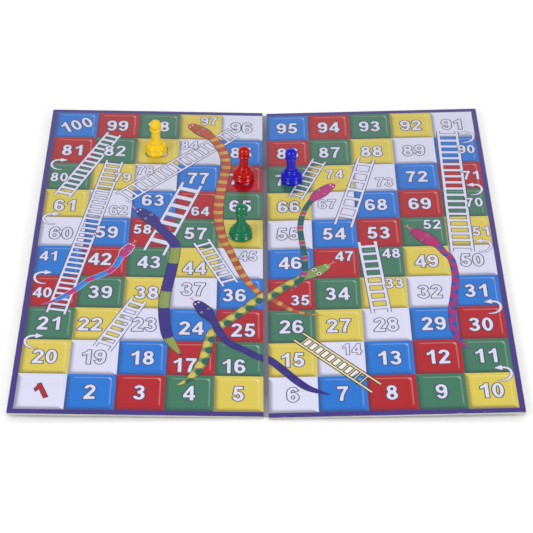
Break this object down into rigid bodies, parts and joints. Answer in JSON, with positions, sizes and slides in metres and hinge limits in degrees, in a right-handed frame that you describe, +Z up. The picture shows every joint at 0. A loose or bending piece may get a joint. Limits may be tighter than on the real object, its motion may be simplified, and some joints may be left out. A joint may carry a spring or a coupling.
{
  "type": "folding board game",
  "caption": "Two-panel folding game board with a printed grid of numbered squares, snakes and ladders, a cloth-tape fold and moulded plastic pawns.",
  "frame": {"origin": "on the table under the middle of the fold, at the underside of the bare tape strip", "axes": "+X across the fold to the player's right, +Y away from the player, +Z up"},
  "size_m": [0.2628, 0.261, 0.026],
  "materials": {
    "greyboard": "die-cut solid greyboard, bare cut edges",
    "print": "colour print under a gloss film",
    "lining": "plain matt paper",
    "hinge_tape": "woven cloth tape",
    "yellow_plastic": "moulded, glossy",
    "red_plastic": "moulded, glossy",
    "green_plastic": "moulded, glossy",
    "blue_plastic": "moulded, glossy"
  },
  "bodies": {
    "left_half": {"core_left": "greyboard", "print_left": "print", "lining_left": "lining", "tape_flap_left": "hinge_tape"},
    "spine": {"tape_spine": "hinge_tape"},
    "right_half": {"core_right": "greyboard", "print_right": "print", "lining_right": "lining", "tape_flap_right": "hinge_tape"},
    "pawn_yellow": {"pawn_yellow": "yellow_plastic"},
    "pawn_red": {"pawn_red": "red_plastic"},
    "pawn_green": {"pawn_green": "green_plastic"},
    "pawn_blue": {"pawn_blue": "blue_plastic"}
  },
  "joints": [
    {"name": "fold_left", "type": "hinge", "parent": "left_half", "child": "spine", "pos_m": [-0.00125, 0, 0.0001], "axis": [0, -1, 0], "range_deg": [0, 88.5]},
    {"name": "fold_right", "type": "hinge", "parent": "spine", "child": "right_half", "pos_m": [0.00125, 0, 0.0001], "axis": [0, -1, 0], "range_deg": [0, 88.5]},
    {"name": "lift_yellow", "type": "slide", "parent": "left_half", "child": "pawn_yellow", "axis": [0, 0, 1], "range_m": [0, 0.31]},
    {"name": "lift_red", "type": "slide", "parent": "left_half", "child": "pawn_red", "axis": [0, 0, 1], "range_m": [0, 0.31]},
    {"name": "lift_green", "type": "slide", "parent": "left_half", "child": "pawn_green", "axis": [0, 0, 1], "range_m": [0, 0.31]},
    {"name": "lift_blue", "type": "slide", "parent": "left_half", "child": "pawn_blue", "axis": [0, 0, 1], "range_m": [0, 0.31]}
  ],
  "couplings": [
    {"joint": "fold_right", "follows": "fold_left", "ratio": 1},
    {"joint": "lift_yellow", "follows": "fold_left", "m_per_rad": 0.2},
    {"joint": "lift_red", "follows": "fold_left", "m_per_rad": 0.2},
    {"joint": "lift_green", "follows": "fold_left", "m_per_rad": 0.2},
    {"joint": "lift_blue", "follows": "fold_left", "m_per_rad": 0.2}
  ]
}
